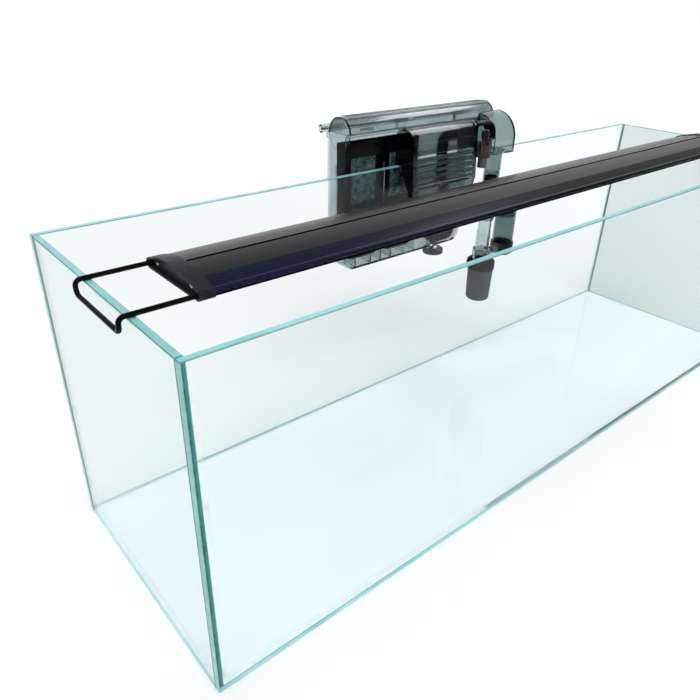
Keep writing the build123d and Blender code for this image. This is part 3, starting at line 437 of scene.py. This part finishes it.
black_plastic = plastic("black_plastic", (0.0018, 0.0021, 0.0024), 0.45, gloss=0.02)
basket_plastic = plastic("basket_plastic", (0.0018, 0.002, 0.0022), 0.5, gloss=0.0)
black_matte = plastic("black_matte_plastic", (0.004, 0.0045, 0.005), 0.5, grain=0.5, gloss=0.08)
cap_plastic = plastic("cap_plastic", (0.013, 0.0145, 0.018), 0.36, grain=0.4, gloss=0.08)
black_rubber = plastic("black_rubber", (0.016, 0.016, 0.017), 0.6, grain=0.6, size=900.0)
black_wire = plastic("black_wire", (0.0015, 0.0015, 0.0015), 0.2, grain=0.1, gloss=0.08)
red_plastic = valve_look()
red_rubber = plastic("red_rubber", (0.06, 0.006, 0.010), 0.4)
disc_plastic = plastic("disc_plastic", (0.040, 0.058, 0.062), 0.4, gloss=0.3)
clear_plastic = clear("clear_plastic", (0.50, 0.59, 0.58), 0.04, ior=1.35, grazing_shade=0.8)
tube_plastic = clear("tube_plastic", (0.72, 0.78, 0.78), 0.08, grazing_shade=0.75, wave=0.4)
smoke_body = clear("smoke_body", (0.60, 0.66, 0.665), 0.03, grazing_shade=0.6, mirror=0.1)
smoke_lid = lid_look()
smoke_spout = clear("smoke_spout", (0.155, 0.195, 0.20), 0.12, ior=1.4, grazing_shade=0.9, mirror=0.6)
skimmer_plastic = clear("skimmer_plastic", (0.32, 0.40, 0.39), 0.05, ior=1.3, grazing_shade=0.8)
float_plastic = clear("float_plastic", (0.16, 0.20, 0.20), 0.1, grazing_shade=0.7)
sleeve_plastic = clear("sleeve_plastic", (0.42, 0.49, 0.475), 0.06, grazing_shade=0.8)

FINISHES = {
    # The panes are one glass; their tints differ as painted shade, darkest in the right end pane and bluish in the
    # bottom pane.
    "front_pane": pane_glass("glass_long_front", 1, (0.945, 0.972, 0.978)),
    "back_pane": pane_glass("glass_long_back", 1, (0.91, 0.95, 0.95)),
    "left_end_pane": pane_glass("glass_end_left", 0, (0.86, 0.925, 0.92)),
    "right_end_pane": pane_glass("glass_end_right", 0, (0.66, 0.74, 0.73)),
    "bottom_pane": pane_glass("glass_bottom", 2, (0.885, 0.915, 0.955)),
    "silicone_seams": silicone_look(),
    "light_housing": housing_look(),
    "light_cap_left": cap_plastic,
    "light_cap_right": cap_plastic,
    "light_cap_screws": steel_look(),
    "light_lens": clear("frosted_lens", (0.86, 0.88, 0.88), 0.3, shade=0.03, wave=0.05),
    "led_board": board_look(),
    "led_chips": chip_look(),
    "light_cord_gland": black_rubber,
    "left_wire_leg": black_wire,
    "right_wire_leg": black_wire,
    "filter_body": smoke_body,
    "filter_lid": smoke_lid,
    "lid_hinge_pin": steel_look(),
    "outlet_spout": smoke_spout,
    "intake_elbow": clear_plastic,
    "intake_sleeve": sleeve_plastic,
    "intake_inner_tube": tube_plastic,
    "intake_seal": red_rubber,
    "strainer_collar": black_plastic,
    "strainer_core": black_matte,
    "skimmer_elbow": tee_look(),
    "skimmer_tube": skimmer_plastic,
    "skimmer_float": float_plastic,
    "skimmer_crown": skimmer_plastic,
    "motor_housing": black_matte,
    "impeller": black_plastic,
    "impeller_shaft": ceramic_look(),
    "volute_cover": black_matte,
    "inlet_riser": black_plastic,
    "filter_cord_gland": black_rubber,
    "cartridge_frame_left": basket_plastic,
    "cartridge_frame_right": basket_plastic,
    "flow_valve": red_plastic,
    "levelling_wheel": disc_plastic,
}
for name, look in FINISHES.items():
    obj = nodes[name]
    obj.data.materials.clear()
    obj.data.materials.append(look.mat)


def piece(name, verts, faces, look, body):
    mesh = bpy.data.meshes.new(name)
    mesh.from_pydata([tuple(v) for v in verts], [], faces)
    mesh.update()
    obj = bpy.data.objects.new(name, mesh)
    bpy.context.scene.collection.objects.link(obj)
    mesh.materials.append(look.mat)
    for polygon in mesh.polygons:
        polygon.use_smooth = True
    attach(obj, body)
    return obj


def lathe(profile, centre, steps):
    """Vertices and faces of a closed profile of (radius, height) turned about an upright axis."""
    verts = []
    faces = []
    count = len(profile)
    for radius, height in profile:
        for n in range(steps):
            turn = 2 * math.pi * n / steps
            x = centre[0] + radius * math.cos(turn)
            y = centre[1] + radius * math.sin(turn)
            verts.append(Vector((x, y, height)))
    for i in range(count - 1):
        for n in range(steps):
            m = (n + 1) % steps
            faces.append((i * steps + n, i * steps + m, (i + 1) * steps + m, (i + 1) * steps + n))
    return verts, faces


PIT_DEPTH = 0.00042
RAGGED_DEPTH = 0.0003
SKIN = 0.0002


def sponge():
    """Open-cell foam sleeve: the outline of the CAD foam, pitted all over and slightly ragged."""
    low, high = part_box("prefilter_sponge")
    centre = ((low[0] + high[0]) / 2, (low[1] + high[1]) / 2)
    outer = (high[0] - low[0]) / 2 - SKIN
    bottom, top = low[2] + SKIN, high[2] - SKIN
    bore = 0.0088
    floor = bottom + 0.005
    taper = 0.0012
    corner = 0.004
    profile = [(0.0004, bottom)]
    for n in range(1, 16):
        profile.append(((outer - taper - corner) * n / 15, bottom))
    for n in range(1, 9):
        turn = math.pi / 2 * n / 8
        profile.append((outer - taper - corner + corner * math.sin(turn), bottom + corner * (1 - math.cos(turn))))
    rise = top - bottom - corner
    for n in range(1, 91):
        share = n / 90
        profile.append((outer - taper * (1 - share), bottom + corner + rise * share - 0.0008 * share))
    profile += [(outer - 0.0003, top - 0.0003), (outer - 0.0012, top)]
    for n in range(1, 9):
        profile.append((outer - 0.0012 - (outer - 0.0012 - bore) * n / 8, top))
    for n in range(1, 20):
        profile.append((bore, top - (top - floor) * n / 19))
    profile.append((0.0004, floor))
    steps = 220
    verts, faces = lathe(profile, centre, steps)
    faces.append(tuple(reversed(range(steps))))
    faces.append(tuple((len(profile) - 1) * steps + n for n in range(steps)))
    middle = Vector((centre[0], centre[1], 0))
    moved = []
    for v in verts:
        away = Vector((v.x - middle.x, v.y - middle.y, 0))
        radius = away.length
        out = away.normalized() if radius > 1e-6 else Vector((0, 0, 0))
        pit = noise.noise(v * 900) * 0.5 + noise.noise(v * 2100) * 0.5
        ragged = noise.noise(v * 260)
        depth = PIT_DEPTH * max(0.0, pit + 0.25) + RAGGED_DEPTH * max(0.0, ragged)
        if radius > bore + 0.0005:
            v = v - out * depth if v.z > bottom + 0.0005 else v + Vector((0, 0, depth))
        moved.append(v)
    obj = piece("sponge_foam", moved, faces, foam_look(), "intake_lower")
    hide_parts("prefilter_sponge")


floss_finish = floss_look()
STRANDS = 900
STRAND_STEPS = 5


def floss(side):
    """Pad of crimped fibres: crowned faces that press into the basket's windows, with loose strands."""
    node = "cartridge_pad_" + side
    low, high = (Vector(c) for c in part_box(node))
    low += Vector((SKIN, SKIN, SKIN))
    high -= Vector((SKIN, SKIN, SKIN))
    centre = (low + high) / 2
    half = (high - low) / 2
    mesh = bmesh.new()
    bmesh.ops.create_cube(mesh, size=2.0)
    bmesh.ops.subdivide_edges(mesh, edges=mesh.edges[:], cuts=55, use_grid_fill=True)
    corner = 0.012
    for v in mesh.verts:
        p = v.co
        x, y, z = p.x * half.x, p.y * half.y, p.z * half.z
        cx, cz = half.x - corner, -(half.z - corner)
        if abs(x) > cx and z < cz:
            dx, dz = abs(x) - cx, cz - z
            size = max(dx, dz)
            length = math.hypot(dx, dz)
            if length > 1e-9:
                x = math.copysign(cx + dx * size / length, x)
                z = cz - dz * size / length
        place = Vector((x, y, z)) + centre
        lump = noise.noise(place * 120) * 0.0006 + noise.noise(place * 420) * 0.0004
        edge = max(abs(p.x), abs(p.z))
        crown = 0.0011 * (1 - edge ** 4)
        if abs(p.y) > 0.999:
            y += math.copysign(crown - 0.0007 + lump, y) if edge < 0.999 else 0.0
        elif abs(p.x) > 0.999:
            x -= math.copysign(0.0002 + abs(lump) * 0.5, x)
        v.co = Vector((x, y, z)) + centre
    mesh.verts.ensure_lookup_table()
    verts = [v.co.copy() for v in mesh.verts]
    faces = [tuple(v.index for v in f.verts) for f in mesh.faces]
    mesh.free()
    rng = random.Random(7 if side == "left" else 11)
    for _ in range(STRANDS):
        face = rng.choice((-1, 1))
        x = rng.uniform(-0.86, 0.86) * half.x
        z = rng.uniform(-0.93, 0.95) * half.z
        if z < -half.z + 0.016 and abs(x) > half.x - 0.014:
            continue
        turn = rng.uniform(0, math.pi)
        length = rng.uniform(0.003, 0.009)
        curl = rng.uniform(-0.9, 0.9)
        width = rng.uniform(0.00007, 0.00014)
        start = len(verts)
        point = Vector((x, face * (half.y + 0.00035 + rng.uniform(0.0, 0.0003)), z)) + centre
        for k in range(STRAND_STEPS + 1):
            heading = turn + curl * k / STRAND_STEPS
            along = Vector((math.cos(heading), 0, math.sin(heading)))
            lift = Vector((0, face * 0.0004 * math.sin(math.pi * k / STRAND_STEPS), 0))
            aside = Vector((-along.z, 0, along.x)) * width * (1 - 0.6 * abs(2 * k / STRAND_STEPS - 1))
            base = point + lift
            base.x = min(max(base.x, centre.x - half.x * 0.98), centre.x + half.x * 0.98)
            base.z = min(max(base.z, centre.z - half.z * 0.98), centre.z + half.z * 0.98)
            verts.append(base - aside)
            verts.append(base + aside)
            point = point + along * length / STRAND_STEPS
        for k in range(STRAND_STEPS):
            a = start + 2 * k
            faces.append((a, a + 1, a + 3, a + 2))
    obj = piece("floss_" + side, verts, faces, floss_finish, "filter")
    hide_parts(node)


sponge()
floss("left")
floss("right")

# The floor glows a little more the further it lies from the tank, so that the far floor ends up white.
NEAR_GLOW = 0.07
FAR_GLOW = 0.30
GLOW_START, GLOW_END = 0.8, 2.6
FLOOR_HALF = 12
FLOOR_GAP = 0.0002

floor_mesh = bpy.data.meshes.new("floor")
floor_corners = [(x * FLOOR_HALF, y * FLOOR_HALF, 0) for x, y in ((-1, -1), (1, -1), (1, 1), (-1, 1))]
floor_mesh.from_pydata(floor_corners, [], [(0, 1, 2, 3)])
floor = bpy.data.objects.new("floor", floor_mesh)
bpy.context.scene.collection.objects.link(floor)
floor.location.z = cad_low[2] - FLOOR_GAP
floor_look = Look("pale_floor")
floor_tone = floor_look.noise(1.5, 2.0)
floor_look.set(
    Base_Color=floor_look.ramp(floor_tone, (0.3, (0.79, 0.79, 0.79)), (0.7, (0.81, 0.81, 0.81))),
    Roughness=0.9, Specular_IOR_Level=0.0,
)
floor_rays = floor_look.tree.nodes.new("ShaderNodeLightPath")
seen = floor_look.math("MAXIMUM", floor_rays.outputs["Is Camera Ray"], floor_rays.outputs["Is Glossy Ray"])
seen = floor_look.math("MAXIMUM", seen, floor_rays.outputs["Is Transmission Ray"])
away = floor_look.node("ShaderNodeVectorMath", Vector=floor_look.coord.outputs["Object"])
away.operation = "LENGTH"
glow = floor_look.span(away.outputs["Value"], NEAR_GLOW, FAR_GLOW, GLOW_START, GLOW_END)
floor_look.set(Emission_Color=(1.0, 1.0, 1.0), Emission_Strength=floor_look.math("MULTIPLY", seen, glow))
floor_mesh.materials.append(floor_look.mat)

# White for the camera and through glass; a soft studio for reflections; an even level for everything else.
STUDIO_LEVEL = 0.62
world = bpy.data.worlds.new("studio")
bpy.context.scene.world = world
world.use_nodes = True
tree = world.node_tree
background = tree.nodes["Background"]
background.inputs["Color"].default_value = (1.0, 1.0, 1.0, 1.0)
sky_rays = tree.nodes.new("ShaderNodeLightPath")
sky = tree.nodes.new("ShaderNodeTexCoord")
split = tree.nodes.new("ShaderNodeSeparateXYZ")
tree.links.new(sky.outputs["Generated"], split.inputs[0])


def calc(kind, *values):
    made = tree.nodes.new("ShaderNodeMath")
    made.operation = kind
    for socket, value in zip(made.inputs, values):
        if isinstance(value, bpy.types.NodeSocket):
            tree.links.new(value, socket)
        else:
            socket.default_value = value
    return made.outputs[0]


def between(value, start, end, low, high):
    made = tree.nodes.new("ShaderNodeMapRange")
    made.interpolation_type = "SMOOTHSTEP"
    for socket, number in zip(list(made.inputs)[1:5], (start, end, low, high)):
        socket.default_value = number
    tree.links.new(value, made.inputs[0])
    return made.outputs[0]


ahead = calc("ADD", calc("MULTIPLY", split.outputs[0], 0.65), calc("MULTIPLY", split.outputs[1], 0.76))
backdrop = between(ahead, 0.30, 0.85, 0.06, 1.0)
overhead = between(split.outputs[2], 0.90, 0.99, 0.0, 0.5)
mirrored = calc("MAXIMUM", backdrop, overhead)
plain = calc("MAXIMUM", sky_rays.outputs["Is Camera Ray"], sky_rays.outputs["Is Transmission Ray"])
above_level = calc("SUBTRACT", mirrored, STUDIO_LEVEL)
lit = calc("MULTIPLY_ADD", sky_rays.outputs["Is Glossy Ray"], above_level, STUDIO_LEVEL)
strength = calc("MULTIPLY_ADD", plain, calc("SUBTRACT", 1.0, lit), lit)
tree.links.new(strength, background.inputs["Strength"])


def lamp(name, place, aim, size, power):
    data = bpy.data.lights.new(name, "AREA")
    data.shape = "RECTANGLE"
    data.size, data.size_y = size
    data.energy = power
    obj = bpy.data.objects.new(name, data)
    bpy.context.scene.collection.objects.link(obj)
    obj.location = place
    obj.rotation_euler = (Vector(aim) - Vector(place)).to_track_quat("-Z", "Y").to_euler()


lamp("key_strip", (1.4, 0.15, 1.7), (0, 0.1, 0.3), (1.2, 0.35), 8)
lamp("left_strip", (-1.5, 0.3, 1.3), (0, 0.1, 0.3), (0.25, 0.9), 4)
lamp("front_strip", (-0.3, -1.6, 1.7), (0, 0, 0.3), (1.4, 0.25), 5)
sun_data = bpy.data.lights.new("soft_sun", "SUN")
sun_data.energy = 1.25
sun_data.angle = 0.9
sun = bpy.data.objects.new("soft_sun", sun_data)
bpy.context.scene.collection.objects.link(sun)
sun.rotation_euler = Vector((0.35, 0.45, -1.0)).to_track_quat("-Z", "Y").to_euler()

# The camera is the one solved from the tank's corners in the photograph.
CAMERA_LENS = 33.2
CAMERA_SENSOR = 36.0
CAMERA_PLACE = (-0.57442, -0.41408, 0.46773)
camera_data = bpy.data.cameras.new("camera")
camera_data.lens = CAMERA_LENS
camera_data.sensor_width = CAMERA_SENSOR
camera = bpy.data.objects.new("camera", camera_data)
bpy.context.scene.collection.objects.link(camera)
right = Vector((0.766723, -0.641540, 0.023690))
up = Vector((0.298093, 0.388456, 0.871919))
back = Vector((-0.568574, -0.661459, 0.489076))
turn = Matrix((right, up, back)).transposed()
camera.matrix_world = Matrix.Translation(CAMERA_PLACE) @ turn.to_4x4()
camera_data.clip_start = 0.01
bpy.context.scene.camera = camera
bpy.context.scene.view_settings.view_transform = "Standard"
